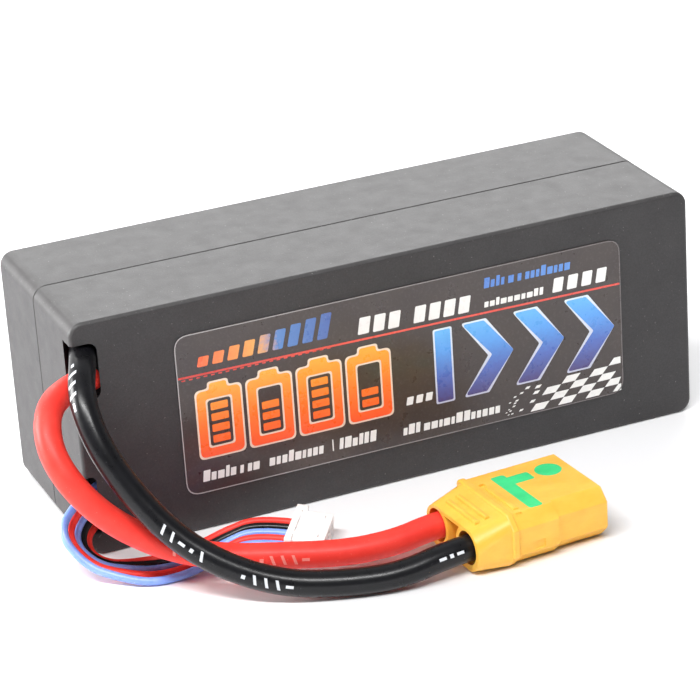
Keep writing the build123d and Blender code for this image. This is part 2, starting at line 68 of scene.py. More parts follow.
def make_camera():
    """A camera at the stated angle; its offset from the target is along its own axes."""
    azimuth, elevation, roll = (math.radians(a) for a in (VIEW_AZIMUTH, VIEW_ELEVATION, VIEW_ROLL))
    flat = math.cos(elevation)
    back = Vector((math.sin(azimuth) * flat, -math.cos(azimuth) * flat, math.sin(elevation)))
    level = Vector((math.cos(azimuth), math.sin(azimuth), 0))
    upright = back.cross(level)
    right = level * math.cos(roll) + upright * math.sin(roll)
    up = upright * math.cos(roll) - level * math.sin(roll)
    turn = Matrix((right, up, back)).transposed()
    camera = bpy.data.objects.new("camera", bpy.data.cameras.new("camera"))
    bpy.context.scene.collection.objects.link(camera)
    camera.matrix_world = Matrix.Translation(VIEW_TARGET + turn @ VIEW_OFFSET) @ turn.to_4x4()
    camera.data.lens = LENS
    camera.data.sensor_width = SENSOR_WIDTH
    camera.data.clip_start = CLIP_START
    camera.data.clip_end = CLIP_END
    bpy.context.scene.camera = camera


make_camera()


# ------------------------------------------------------------------ stage and light
def area_light(name, place, aim, size, power):
    """A soft white rectangular lamp that faces a point."""
    lamp = bpy.data.lights.new(name, "AREA")
    lamp.shape = "RECTANGLE"
    lamp.size, lamp.size_y = size
    lamp.energy = power
    holder = bpy.data.objects.new(name, lamp)
    bpy.context.scene.collection.objects.link(holder)
    holder.location = place
    holder.rotation_euler = (Vector(aim) - Vector(place)).to_track_quat("-Z", "Y").to_euler()


WORLD_TILT = -0.35          # how fast the surround dims with height
WORLD_RANGE = {"From Min": -0.5, "From Max": 0.8, "To Min": 0.16, "To Max": 1.05}


def studio_world():
    """A white surround that is bright low behind the pack and dim overhead and in front of it."""
    world = bpy.data.worlds.new("world")
    world.use_nodes = True
    tree = world.node_tree
    split = tree.nodes.new("ShaderNodeSeparateXYZ")
    tree.links.new(tree.nodes.new("ShaderNodeTexCoord").outputs["Generated"], split.inputs["Vector"])
    slope = tree.nodes.new("ShaderNodeMath")
    slope.operation = "MULTIPLY_ADD"
    slope.inputs[1].default_value = WORLD_TILT
    tree.links.new(split.outputs["Z"], slope.inputs[0])
    tree.links.new(split.outputs["Y"], slope.inputs[2])
    strength = tree.nodes.new("ShaderNodeMapRange")
    tree.links.new(slope.outputs["Value"], strength.inputs["Value"])
    for socket, value in WORLD_RANGE.items():
        strength.inputs[socket].default_value = value
    background = tree.nodes["Background"]
    background.inputs["Color"].default_value = (1, 1, 1, 1)
    tree.links.new(strength.outputs["Result"], background.inputs["Strength"])
    return world


FLOOR_SIZE = 12


def make_stage():
    """A pale floor that fades into a pale background, and studio lamps."""
    bpy.context.scene.view_settings.view_transform = "Standard"
    bpy.ops.mesh.primitive_plane_add(size=FLOOR_SIZE, location=(0, 0, 0))
    floor = bpy.context.object
    floor.name = "floor"
    paint = bpy.data.materials.new("floor_paint")
    paint.use_nodes = True
    shader = paint.node_tree.nodes["Principled BSDF"]
    shader.inputs["Base Color"].default_value = (0.87, 0.87, 0.88, 1)
    shader.inputs["Roughness"].default_value = 0.7
    floor.data.materials.append(paint)
    bpy.context.scene.world = studio_world()
    area_light("key", (-0.35, -0.45, 0.85), (0, 0, 0.02), (0.9, 0.12), 13.0)
    area_light("back", (0.35, 1.1, 0.7), (0, 0, 0.04), (1.3, 0.6), 11.0)
    area_light("left", (-1.0, 0.6, 0.35), (-0.06, 0, 0.03), (0.7, 0.5), 20.0)


make_stage()


# ------------------------------------------------------------------ leads
BLACK_ROUTE = [
    (-65.0, -16.5, 43.8), (-67.6, -24.5, 43.8), (-71.0, -32.0, 40.0), (-70.5, -38.5, 32.0),
    (-66.0, -43.5, 22.5), (-60.0, -49.5, 14.0), (-52.0, -55.5, 8.0), (-42.0, -60.5, 4.0),
    (-31.0, -64.5, 3.0), (-20.0, -67.4, 3.1), (-9.2, -67.39, 5.3), (0.35, -66.65, 5.3),
]
RED_ROUTE = [
    (-64.5, -19.3, 38.0), (-72.4, -23.0, 38.0), (-77.5, -28.5, 36.0), (-79.0, -34.5, 30.5),
    (-76.0, -39.0, 23.5), (-69.5, -40.5, 15.5), (-60.0, -43.5, 9.0), (-49.5, -46.5, 5.5),
    (-38.0, -50.6, 4.7), (-26.0, -54.7, 4.0), (-15.5, -56.0, 4.4), (-7.5, -55.02, 5.3),
    (-0.6, -54.49, 5.3),
]
PLUG_WIRE_Z = 2.875
INNER_ROUTE = [
    (-63.0, -17.1, 6.0), (-69.6, -22.05, 6.0), (-71.0, -26.0, 2.8), (-68.0, -29.0, 0.9),
    (-63.0, -31.2, 0.9), (-56.0, -32.4, 0.9), (-49.0, -30.9, 1.1), (-42.3, -30.4, 2.7),
    (-35.86, -32.06, 4.4),
]
OUTER_ROUTE = [
    (-63.0, -17.1, 14.0), (-71.0, -23.1, 14.0), (-77.5, -28.0, 10.0), (-74.0, -33.5, 4.0),
    (-69.0, -37.2, 2.0), (-63.0, -41.5, 0.9), (-55.0, -41.6, 1.0), (-48.0, -40.6, 2.4),
    (-41.3, -40.4, 4.4),
]
PLUG_MIDDLE, PLUG_TURN, PLUG_TILT = (-32.8, -40.0, 0.66), -33.0, 7.0
PLUG_PLACE = (Matrix.Translation(PLUG_MIDDLE) @ Matrix.Rotation(math.radians(PLUG_TURN), 4, "Z")
              @ Matrix.Rotation(math.radians(PLUG_TILT), 4, "Y"))
PLUG_PITCH, WIRE_DEPTH = 2.5, 1.2
POWER_DIAMETER, BALANCE_DIAMETER = 5.5, 1.7
BALANCE_COUNT = 5
CURVE_STEPS, SECTION_STEPS = 16, 10


def balance_route(index):
    """The route of one balance wire, 0 the innermost, and its end in the plug."""
    share = index / (BALANCE_COUNT - 1)
    route = []
    for inner, outer in zip(INNER_ROUTE, OUTER_ROUTE):
        route.append(tuple(low + (high - low) * share for low, high in zip(inner, outer)))
    across = PLUG_PITCH * ((BALANCE_COUNT - 1) / 2 - index)
    route.append(tuple(PLUG_PLACE @ Vector((WIRE_DEPTH, across, PLUG_WIRE_Z))))
    return route


def lead_curve(name, route, diameter):
    """One open NURBS spline along a lead's route. Its section is round; each point holds the radius."""
    curve = bpy.data.curves.new(name, "CURVE")
    curve.dimensions = "3D"
    spline = curve.splines.new("NURBS")
    spline.points.add(len(route) - 1)
    for point, place in zip(spline.points, route):
        point.co = (*mm(*place), 1)
        point.radius = diameter / 2 * MM
    spline.order_u = 3
    spline.use_endpoint_u = True
    spline.resolution_u = CURVE_STEPS
    curve.bevel_depth = 1.0
    curve.bevel_resolution = SECTION_STEPS
    curve.use_fill_caps = True
    lead = bpy.data.objects.new(name, curve)
    bpy.context.scene.collection.objects.link(lead)
    return lead


def centreline(lead):
    """Points along a lead's own spline."""
    bare = lead.data.copy()
    bare.bevel_depth = 0
    holder = bpy.data.objects.new("bare", bare)
    bpy.context.scene.collection.objects.link(holder)
    bpy.context.view_layer.update()
    mesh = bpy.data.meshes.new_from_object(holder)
    points = [v.co.copy() for v in mesh.vertices]
    bpy.data.objects.remove(holder)
    bpy.data.meshes.remove(mesh)
    return points


def add_lead(name, node, route, diameter):
    """A lead in place of its CAD tube, attached to the root body."""
    lead = lead_curve(name, route, diameter)
    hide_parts(node)
    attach(lead, "root")
    return lead


BALANCE_COLOURS = ["red", "black", "blue", "red", "blue"]      # from the innermost wire out

black_lead = add_lead("black_lead", "power_lead_black", BLACK_ROUTE,
                      POWER_DIAMETER)
red_lead = add_lead("red_lead", "power_lead_red", RED_ROUTE,
                    POWER_DIAMETER)
balance_leads = []
for number, colour in enumerate(BALANCE_COLOURS, 1):
    balance_leads.append(add_lead(f"balance_wire_{number}", f"balance_lead_{number}",
                                  balance_route(number - 1), BALANCE_DIAMETER))


# ------------------------------------------------------------------ node helpers
def start_material(name):
    """A new material with its shader, and a maker of nodes in it."""
    material = bpy.data.materials.new(name)
    material.use_nodes = True
    tree = material.node_tree
    shader = tree.nodes["Principled BSDF"]
    return material, tree, shader


def object_place(tree, stretch=(1, 1, 1)):
    """Object coordinates in metres, optionally stretched."""
    source = tree.nodes.new("ShaderNodeTexCoord").outputs["Object"]
    if stretch == (1, 1, 1):
        return source
    mapping = tree.nodes.new("ShaderNodeMapping")
    mapping.inputs["Scale"].default_value = stretch
    tree.links.new(source, mapping.inputs["Vector"])
    return mapping.outputs["Vector"]


def noise(tree, grain, detail=4.0, roughness=0.6, stretch=(1, 1, 1)):
    """Cloudy noise whose features are about grain millimetres wide."""
    node = tree.nodes.new("ShaderNodeTexNoise")
    node.inputs["Scale"].default_value = 1 / (grain * MM)
    node.inputs["Detail"].default_value = detail
    node.inputs["Roughness"].default_value = roughness
    tree.links.new(object_place(tree, stretch), node.inputs["Vector"])
    return node.outputs["Fac"]


def cells(tree, grain):
    """Distance pattern of small cells about grain millimetres wide."""
    node = tree.nodes.new("ShaderNodeTexVoronoi")
    node.inputs["Scale"].default_value = 1 / (grain * MM)
    tree.links.new(object_place(tree), node.inputs["Vector"])
    return node.outputs["Distance"]


def remap(tree, source, low, high, to_low, to_high):
    """A value stretched from one range to another and held inside it."""
    node = tree.nodes.new("ShaderNodeMapRange")
    tree.links.new(source, node.inputs["Value"])
    for socket, value in zip(("From Min", "From Max", "To Min", "To Max"), (low, high, to_low, to_high)):
        node.inputs[socket].default_value = value
    return node.outputs["Result"]


def ramp(tree, source, stops):
    """A colour for each value, from a list of (place, colour)."""
    node = tree.nodes.new("ShaderNodeValToRGB")
    tree.links.new(source, node.inputs["Fac"])
    elements = node.color_ramp.elements
    while len(elements) < len(stops):
        elements.new(0.5)
    for element, (place, colour) in zip(elements, stops):
        element.position = place
        element.color = (*colour, 1)
    return node.outputs["Color"]


def maths(tree, operation, first, second=None):
    """One step of arithmetic on one value or two."""
    node = tree.nodes.new("ShaderNodeMath")
    node.operation = operation
    tree.links.new(first, node.inputs[0])
    if second is not None:
        tree.links.new(second, node.inputs[1])
    return node.outputs["Value"]


def blend(tree, factor, first, second, mode="MIX"):
    """Two colours mixed. The factor may be a socket or a number, each colour a socket or plain."""
    node = tree.nodes.new("ShaderNodeMix")
    node.data_type = "RGBA"
    node.blend_type = mode
    if isinstance(factor, float):
        node.inputs["Factor"].default_value = factor
    else:
        tree.links.new(factor, node.inputs["Factor"])
    for socket, colour in ((node.inputs[6], first), (node.inputs[7], second)):
        if isinstance(colour, tuple):
            socket.default_value = (*colour, 1)
        else:
            tree.links.new(colour, socket)
    return node.outputs[2]


def relief(tree, shader, layers):
    """Bump from several heights, each with its depth in millimetres, one on top of the other."""
    below = None
    for height, depth in layers:
        node = tree.nodes.new("ShaderNodeBump")
        node.inputs["Strength"].default_value = 1.0
        node.inputs["Distance"].default_value = depth * MM
        tree.links.new(height, node.inputs["Height"])
        if below is not None:
            tree.links.new(below, node.inputs["Normal"])
        below = node.outputs["Normal"]
    tree.links.new(below, shader.inputs["Normal"])


EDGE_START, EDGE_FLAT = 0.9, 0.98       # largest part of a normal: on a rounded edge, and on a flat


def edge_mask(tree):
    """Near 1 where the surface turns between two of the main directions, 0 on its flats."""
    normal = tree.nodes.new("ShaderNodeNewGeometry").outputs["Normal"]
    split = tree.nodes.new("ShaderNodeSeparateXYZ")
    tree.links.new(normal, split.inputs["Vector"])
    sizes = [maths(tree, "ABSOLUTE", split.outputs[axis]) for axis in ("X", "Y", "Z")]
    largest = maths(tree, "MAXIMUM", maths(tree, "MAXIMUM", sizes[0], sizes[1]), sizes[2])
    return remap(tree, largest, EDGE_START, EDGE_FLAT, 1.0, 0.0)


def specks(tree, grain, share):
    """1 on a few scattered dust specks about grain millimetres wide, 0 elsewhere."""
    return remap(tree, noise(tree, grain, 2.0, 0.5), 1 - share, 1 - share + 0.04, 0.0, 1.0)


# ------------------------------------------------------------------ materials
FLECKS = [(0.25, (0.72, 0.72, 0.73)), (0.5, (1.0, 1.0, 1.0)), (0.78, (1.35, 1.33, 1.33))]


def case_plastic():
    """Charcoal moulded plastic: spark-eroded grain, faint handling marks, edges a little lighter, partly from
    rubbing wear and partly a painted highlight.
    """
    material, tree, shader = start_material("case_plastic")
    cloud = noise(tree, 9.0, 5.0, 0.6)
    grain = noise(tree, 0.35, 3.0, 0.7)
    base = ramp(tree, cloud, [(0.3, (0.027, 0.025, 0.026)), (0.7, (0.034, 0.032, 0.033))])
    mottled = blend(tree, 1.0, base, ramp(tree, grain, FLECKS), "MULTIPLY")
    # Rounded edges are painted lighter: partly rubbing wear, partly a painted highlight where light catches
    # the edges.
    rubbed_and_highlight = remap(tree, noise(tree, 2.5, 4.0), 0.3, 0.7, 0.25, 0.5)
    patch_share = maths(tree, "MULTIPLY", edge_mask(tree), rubbed_and_highlight)
    colour = blend(tree, patch_share, mottled, (0.085, 0.082, 0.082))
    colour = blend(tree, specks(tree, 0.5, 0.3), colour, (0.16, 0.155, 0.15))
    tree.links.new(colour, shader.inputs["Base Color"])
    tree.links.new(remap(tree, noise(tree, 4.0, 6.0), 0.3, 0.7, 0.45, 0.52), shader.inputs["Roughness"])
    relief(tree, shader, [(noise(tree, 7.0, 1.0), 0.008), (noise(tree, 0.35, 2.0, 0.6), 0.018)])
    return material


FILM_STOPS = [(0.3, (0.038, 0.027, 0.028)), (0.52, (0.046, 0.034, 0.031)), (0.75, (0.056, 0.041, 0.036))]


def label_film():
    """Dark printed film: brown-black ink with a faint mottle under a gloss coat."""
    material, tree, shader = start_material("label_film")
    cloud = noise(tree, 14.0, 4.0, 0.65)
    grain = noise(tree, 0.6, 3.0, 0.6)
    base = ramp(tree, cloud, FILM_STOPS)
    colour = blend(tree, remap(tree, grain, 0.52, 0.75, 0.0, 0.35), base, (0.105, 0.088, 0.086))
    tree.links.new(colour, shader.inputs["Base Color"])
    tree.links.new(remap(tree, noise(tree, 3.0, 4.0), 0.3, 0.7, 0.26, 0.36), shader.inputs["Roughness"])
    shader.inputs["Coat Weight"].default_value = 0.35
    shader.inputs["Coat Roughness"].default_value = 0.12
    relief(tree, shader, [(noise(tree, 11.0, 2.0), 0.05), (grain, 0.004)])
    return material


def silicone(name, dark, light, dust, roughness=(0.24, 0.34), gloss=0.12, specular=0.5):
    """Soft silicone jacket: slight colour drift, a satin skin, a fine uneven surface and dust specks."""
    material, tree, shader = start_material(name)
    base = ramp(tree, noise(tree, 5.0, 3.0), [(0.3, dark), (0.7, light)])
    colour = blend(tree, specks(tree, 0.32, 0.27), base, dust)
    tree.links.new(colour, shader.inputs["Base Color"])
    tree.links.new(remap(tree, noise(tree, 1.6, 4.0), 0.3, 0.7, *roughness), shader.inputs["Roughness"])
    shader.inputs["Specular IOR Level"].default_value = specular
    shader.inputs["Coat Weight"].default_value = gloss
    shader.inputs["Coat Roughness"].default_value = 0.2
    relief(tree, shader, [(noise(tree, 2.2, 2.0), 0.012), (noise(tree, 0.25, 2.0), 0.003)])
    return material


def nylon(name, dark, light, glow, glow_weight, roughness=(0.32, 0.46)):
    """Moulded nylon: even colour with soft flow marks, slightly see-through, with a fine satin grain."""
    material, tree, shader = start_material(name)
    flow = noise(tree, 4.0, 4.0, 0.55, (0.5, 1.0, 1.0))
    colour = ramp(tree, flow, [(0.3, dark), (0.7, light)])
    grime = remap(tree, noise(tree, 1.2, 5.0), 0.62, 0.8, 0.0, 0.18)
    colour = blend(tree, grime, colour, tuple(part * 0.55 for part in dark))
    tree.links.new(colour, shader.inputs["Base Color"])
    tree.links.new(remap(tree, noise(tree, 0.9, 4.0), 0.3, 0.7, *roughness), shader.inputs["Roughness"])
    shader.inputs["Subsurface Weight"].default_value = glow_weight
    shader.inputs["Subsurface Radius"].default_value = glow
    shader.inputs["Subsurface Scale"].default_value = 0.0012
    relief(tree, shader, [(flow, 0.02), (noise(tree, 0.22, 2.0), 0.004)])
    return material


def metal(name, dark, light, roughness, streak=(1, 1, 1), dents=0.004):
    """Plated metal: soft tarnish, fine drawing or turning lines and a varying gloss."""
    material, tree, shader = start_material(name)
    tarnish = ramp(tree, noise(tree, 3.0, 5.0, 0.6), [(0.35, dark), (0.65, light)])
    tree.links.new(tarnish, shader.inputs["Base Color"])
    shader.inputs["Metallic"].default_value = 1.0
    tree.links.new(remap(tree, noise(tree, 0.8, 4.0), 0.3, 0.7, *roughness), shader.inputs["Roughness"])
    relief(tree, shader, [(noise(tree, 0.3, 3.0, 0.6, streak), dents)])
    return material


def foam_sheet(name, dark, light, grain, depth):
    """Foam with small open cells."""
    material, tree, shader = start_material(name)
    pores = cells(tree, grain)
    tree.links.new(ramp(tree, pores, [(0.1, dark), (0.6, light)]), shader.inputs["Base Color"])
    tree.links.new(remap(tree, noise(tree, 2.0), 0.3, 0.7, 0.82, 0.95), shader.inputs["Roughness"])
    shader.inputs["Specular IOR Level"].default_value = 0.08
    relief(tree, shader, [(pores, depth)])
    return material


def paper_sheet(name, dark, light):
    """Fibrous insulating sheet."""
    material, tree, shader = start_material(name)
    fibres = noise(tree, 0.5, 5.0, 0.7, (0.25, 1.0, 1.0))
    tree.links.new(ramp(tree, fibres, [(0.3, dark), (0.7, light)]), shader.inputs["Base Color"])
    tree.links.new(remap(tree, fibres, 0.3, 0.7, 0.6, 0.8), shader.inputs["Roughness"])
    relief(tree, shader, [(fibres, 0.02)])
    return material


def circuit_board(name):
    """Green solder mask over a woven glass base, with lighter copper areas under it."""
    material, tree, shader = start_material(name)
    weave = tree.nodes.new("ShaderNodeTexChecker")
    weave.inputs["Scale"].default_value = 1 / (0.7 * MM)
    tree.links.new(object_place(tree), weave.inputs["Vector"])
    copper = remap(tree, noise(tree, 6.0, 1.0), 0.48, 0.52, 0.0, 1.0)
    colour = blend(tree, copper, (0.012, 0.09, 0.035), (0.03, 0.17, 0.06))
    tree.links.new(colour, shader.inputs["Base Color"])
    tree.links.new(remap(tree, weave.outputs["Fac"], 0, 1, 0.28, 0.36), shader.inputs["Roughness"])
    relief(tree, shader, [(copper, 0.03), (weave.outputs["Fac"], 0.01)])
    return material


def ink(name, stops, axis, span):
    """Printed ink: a colour run along one axis in millimetres, with a faint screen grain and gloss."""
    material, tree, shader = start_material(name)
    split = tree.nodes.new("ShaderNodeSeparateXYZ")
    tree.links.new(object_place(tree), split.inputs["Vector"])
    run = remap(tree, split.outputs[axis], span[0] * MM, span[1] * MM, 0.0, 1.0)
    drift = remap(tree, noise(tree, 0.7, 3.0), 0.3, 0.7, -0.03, 0.03)
    colour = ramp(tree, maths(tree, "ADD", run, drift), stops)
    patch_share = remap(tree, noise(tree, 0.35, 4.0, 0.7), 0.66, 0.8, 0.0, 0.12)
    colour = blend(tree, patch_share, colour, (0.12, 0.1, 0.1))
    tree.links.new(colour, shader.inputs["Base Color"])
    tree.links.new(remap(tree, noise(tree, 2.0, 3.0), 0.3, 0.7, 0.25, 0.34), shader.inputs["Roughness"])
    shader.inputs["Coat Weight"].default_value = 0.3
    shader.inputs["Coat Roughness"].default_value = 0.12
    relief(tree, shader, [(noise(tree, 11.0, 2.0), 0.05)])
    return material


WARM_GLOW, GREEN_GLOW, WHITE_GLOW = (1.0, 0.45, 0.12), (0.2, 1.0, 0.4), (1.0, 0.9, 0.8)
paints = {
    "case_plastic": case_plastic(),
    "label_film": label_film(),
    "black_silicone": silicone("black_silicone", (0.004, 0.004, 0.005), (0.007, 0.007, 0.009),
                               (0.07, 0.07, 0.08), roughness=(0.26, 0.34), gloss=0.08, specular=0.32),
    "red_silicone": silicone("red_silicone", (0.84, 0.038, 0.028), (0.92, 0.056, 0.040), (0.95, 0.22, 0.19),
                             roughness=(0.42, 0.52), gloss=0.03, specular=0.32),
    "blue_silicone": silicone("blue_silicone", (0.18, 0.32, 0.86), (0.25, 0.42, 0.94), (0.50, 0.62, 0.96)),
    "connector_plastic": nylon("connector_plastic", (0.92, 0.46, 0.05), (0.98, 0.56, 0.085), WARM_GLOW, 0.18),
    "green_plastic": nylon("green_plastic", (0.04, 0.62, 0.20), (0.06, 0.74, 0.26), GREEN_GLOW, 0.1),
    "plug_plastic": nylon("plug_plastic", (0.90, 0.895, 0.88), (0.95, 0.945, 0.935), WHITE_GLOW, 0.2),
    "contact_metal": metal("contact_metal", (0.72, 0.47, 0.16), (0.90, 0.66, 0.28), (0.16, 0.30),
                           (0.2, 1, 1)),
    "pouch_foil": metal("pouch_foil", (0.55, 0.56, 0.58), (0.70, 0.71, 0.73), (0.32, 0.46), dents=0.03),
    "nickel_tab": metal("nickel_tab", (0.55, 0.53, 0.49), (0.68, 0.66, 0.61), (0.2, 0.35), (1, 0.1, 1)),
    "link_metal": metal("link_metal", (0.50, 0.48, 0.44), (0.64, 0.61, 0.57), (0.25, 0.4), (1, 0.1, 1)),
    "terminal_metal": metal("terminal_metal", (0.62, 0.50, 0.28), (0.78, 0.66, 0.42), (0.2, 0.35)),
    "solder": metal("solder", (0.55, 0.55, 0.57), (0.74, 0.74, 0.76), (0.18, 0.4), dents=0.02),
    "terminal_tin": metal("terminal_tin", (0.60, 0.60, 0.62), (0.76, 0.76, 0.78), (0.2, 0.35)),
    "insulating_sheet": paper_sheet("insulating_sheet", (0.62, 0.60, 0.54), (0.78, 0.77, 0.72)),
    "foam": foam_sheet("foam", (0.03, 0.03, 0.035), (0.11, 0.11, 0.12), 0.6, 0.12),
    "seal_rubber": foam_sheet("seal_rubber", (0.004, 0.004, 0.004), (0.014, 0.014, 0.015), 0.5, 0.08),
    "board": circuit_board("board"),
}


def dress_nodes():
    """Every CAD node gets the material of its slot."""
    for entry in frame["record"]["subparts"]:
        node = nodes[entry["node"]]
        node.data.materials.clear()
        node.data.materials.append(paints[entry["material_slot"]])
    for lead, slot in [(black_lead, "black_silicone"), (red_lead, "red_silicone")]:
        lead.data.materials.append(paints[slot])
    for lead, tint in zip(balance_leads, BALANCE_COLOURS):
        lead.data.materials.append(paints[f"{tint}_silicone"])


dress_nodes()


# ------------------------------------------------------------------ printed label
label_low, label_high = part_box("front_label")
LABEL_FACE = label_low[1] / MM
INK_THICKNESS = 0.02
INK_GAP = 0.01
ARC_STEPS = 6
LONGEST_ARC = 0.49          # share of a side that the arc at one end may take


def rounded(corners, radius):
    """A flat outline with each corner turned into an arc."""
    outline = []
    count = len(corners)
    for index, corner in enumerate(corners):
        here = Vector(corner)
        before = Vector(corners[index - 1]) - here
        after = Vector(corners[(index + 1) % count]) - here
        half = before.angle(after) / 2
        reach = min(radius / math.tan(half), before.length * LONGEST_ARC, after.length * LONGEST_ARC)
        start = here + before.normalized() * reach
        end = here + after.normalized() * reach
        for step in range(ARC_STEPS + 1):
            t = step / ARC_STEPS
            outline.append(start * (1 - t) ** 2 + here * 2 * t * (1 - t) + end * t ** 2)
    return outline


def block(left, low, width, height, lean=0.0, radius=0.0):
    """An upright or leaning box outline, in label millimetres (X, Z)."""
    right, high, shift = left + width, low + height, lean * height
    corners = [(left, low), (right, low), (right + shift, high), (left + shift, high)]
    return rounded(corners, radius) if radius else [Vector(corner) for corner in corners]


def row_of_bars(left, count, step, low, width, height, lean=0.0, radius=0.0):
    """Equal bars side by side."""
    return [block(left + step * index, low, width, height, lean, radius) for index in range(count)]


def print_ink(name, outlines, paint, layer=1):
    """Flat closed ink shapes on the label; outlines inside others are holes."""
    curve = bpy.data.curves.new(name, "CURVE")
    curve.dimensions = "2D"
    curve.fill_mode = "BOTH"
    curve.extrude = INK_THICKNESS / 2 * MM
    for outline in outlines:
        spline = curve.splines.new("POLY")
        spline.points.add(len(outline) - 1)
        spline.use_cyclic_u = True
        for point, place in zip(spline.points, outline):
            point.co = (place[0] * MM, place[1] * MM, 0, 1)
    holder = bpy.data.objects.new(name + "_outline", curve)
    bpy.context.scene.collection.objects.link(holder)
    bpy.context.view_layer.update()
    mesh = bpy.data.meshes.new_from_object(holder.evaluated_get(bpy.context.evaluated_depsgraph_get()))
    bpy.data.objects.remove(holder)
    shape = bmesh.new()
    shape.from_mesh(mesh)
    bmesh.ops.remove_doubles(shape, verts=shape.verts, dist=1e-7)
    upright = Matrix(((1, 0, 0, 0), (0, 0, -1, 0), (0, 1, 0, 0), (0, 0, 0, 1)))
    face = LABEL_FACE - INK_GAP - INK_THICKNESS * (layer - 0.5)
    bmesh.ops.transform(shape, matrix=Matrix.Translation(mm(0, face, 0)) @ upright, verts=shape.verts)
    bmesh.ops.recalc_face_normals(shape, faces=shape.faces)
    shape.to_mesh(mesh)
    shape.free()
    mesh.name = name
    mesh.materials.clear()
    mesh.materials.append(paint)
    piece = bpy.data.objects.new(name, mesh)
    bpy.context.scene.collection.objects.link(piece)
    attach(piece, "root")
    return piece


FIGURE_LOW, FIGURE_HIGH = 16.3, 32.6
FIGURE_SPAN = (FIGURE_LOW, FIGURE_HIGH)
LABEL_SPAN = (-48, 53)
FIGURE_EDGE = 0.38          # width of the pale line round the large figures

CELL_PLACES = [(-44.2, 4), (-33.1, 3), (-22.0, 4), (-10.9, 2)]      # left side, charge bars
CELL_WIDTH, CELL_CAP, CELL_WALL, CELL_RADIUS = 9.6, 1.5, 1.9, 1.3
CAP_SHARE = 0.3             # where the cap begins and ends, as a share of the cell's width
WINDOW_RADIUS = 0.7
LEVEL_WALL, LEVEL_GAP, LEVEL_PLACES, LEVEL_RADIUS = 2.9, 0.75, 4, 0.3

BAR_LEFT, BAR_WIDTH = 9.2, 3.6
CHEVRON_LEFTS = (15.6, 27.6, 39.6)
CHEVRON_WIDTH, CHEVRON_STROKE = 11.6, 5.0
STROKE_GROWTH = 2.4         # how much wider a stroke gets for each millimetre of edge round it

ORANGE_STOPS = [(0.0, (1.0, 0.10, 0.025)), (0.45, (1.0, 0.20, 0.03)), (1.0, (1.0, 0.42, 0.04))]
BLUE_STOPS = [(0.0, (0.075, 0.055, 0.19)), (0.35, (0.085, 0.15, 0.50)),
              (0.7, (0.10, 0.34, 0.82)), (1.0, (0.13, 0.47, 0.92))]
CREAM_STOPS = [(0.0, (0.80, 0.60, 0.48)), (1.0, (0.86, 0.70, 0.56))]
PALE_STOPS = [(0.0, (0.55, 0.56, 0.70)), (1.0, (0.72, 0.80, 0.90))]
WHITE_STOPS = [(0.0, (0.80, 0.79, 0.77)), (1.0, (0.88, 0.87, 0.85))]
RED_STOPS = [(0.0, (0.62, 0.05, 0.04)), (0.4, (0.80, 0.09, 0.06)), (1.0, (0.75, 0.08, 0.06))]
SMALL_BLUE_STOPS = [(0.0, (0.09, 0.22, 0.62)), (1.0, (0.12, 0.30, 0.72))]
GAUGE_STOPS = [(0.0, (0.9, 0.12, 0.04)), (0.4, (0.85, 0.40, 0.10)),
               (0.55, (0.10, 0.24, 0.55)), (1.0, (0.06, 0.10, 0.35))]
# Painted highlight on the film's edge: pale on the left, darker towards the right.
EDGE_HIGHLIGHT_STOPS = [(0.0, (0.40, 0.38, 0.38)), (0.5, (0.26, 0.24, 0.24)), (1.0, (0.15, 0.13, 0.13))]

orange_ink = ink("orange_ink", ORANGE_STOPS, "Z", FIGURE_SPAN)
blue_ink = ink("blue_ink", BLUE_STOPS, "Z", FIGURE_SPAN)
cream_ink = ink("cream_ink", CREAM_STOPS, "Z", FIGURE_SPAN)
pale_ink = ink("pale_ink", PALE_STOPS, "Z", FIGURE_SPAN)
white_ink = ink("white_ink", WHITE_STOPS, "X", (-50, 55))
red_ink = ink("red_ink", RED_STOPS, "X", LABEL_SPAN)
small_blue_ink = ink("small_blue_ink", SMALL_BLUE_STOPS, "X", (20, 45))
gauge_ink = ink("gauge_ink", GAUGE_STOPS, "X", (-44, -10))
edge_highlight_ink = ink("edge_highlight_ink", EDGE_HIGHLIGHT_STOPS, "X", LABEL_SPAN)


def cell_icon(left, grow=0.0):
    """Outline of one upright cell with its cap."""
    low, high = FIGURE_LOW - grow, FIGURE_HIGH - CELL_CAP + grow
    right = left + CELL_WIDTH + grow
    left -= grow
    cap_left, cap_right = left + CELL_WIDTH * CAP_SHARE, right - CELL_WIDTH * CAP_SHARE
    corners = [(left, low), (right, low), (right, high), (cap_right, high), (cap_right, high + CELL_CAP),
               (cap_left, high + CELL_CAP), (cap_left, high), (left, high)]
    return rounded(corners, CELL_RADIUS)


def cell_window(left, grow=0.0):
    """The window in a cell."""
    wall = CELL_WALL - grow
    low, high = FIGURE_LOW + wall, FIGURE_HIGH - CELL_CAP - wall
    right = left + CELL_WIDTH - wall
    left += wall
    return rounded([(left, low), (right, low), (right, high), (left, high)], WINDOW_RADIUS)


def cell_levels(left, count):
    """Charge bars in a cell's window, from the bottom up."""
    room = FIGURE_HIGH - CELL_CAP - LEVEL_WALL - (FIGURE_LOW + LEVEL_WALL)
    height = (room - LEVEL_GAP * (LEVEL_PLACES - 1)) / LEVEL_PLACES
    levels = []
    for index in range(count):
        low = FIGURE_LOW + LEVEL_WALL + index * (height + LEVEL_GAP)
        levels.append(block(left + LEVEL_WALL, low, CELL_WIDTH - 2 * LEVEL_WALL, height, 0.0, LEVEL_RADIUS))
    return levels


def chevron(left, grow=0.0):
    """A broad arrowhead that points to the right."""
    low, high, middle = FIGURE_LOW - grow, FIGURE_HIGH + grow, (FIGURE_LOW + FIGURE_HIGH) / 2
    left -= grow
    stroke = CHEVRON_STROKE + STROKE_GROWTH * grow
    tip = left + CHEVRON_WIDTH + grow
    corners = [(left, low), (left + stroke, low), (tip, middle), (left + stroke, high), (left, high),
               (tip - stroke, middle)]
    return rounded(corners, 0.5)


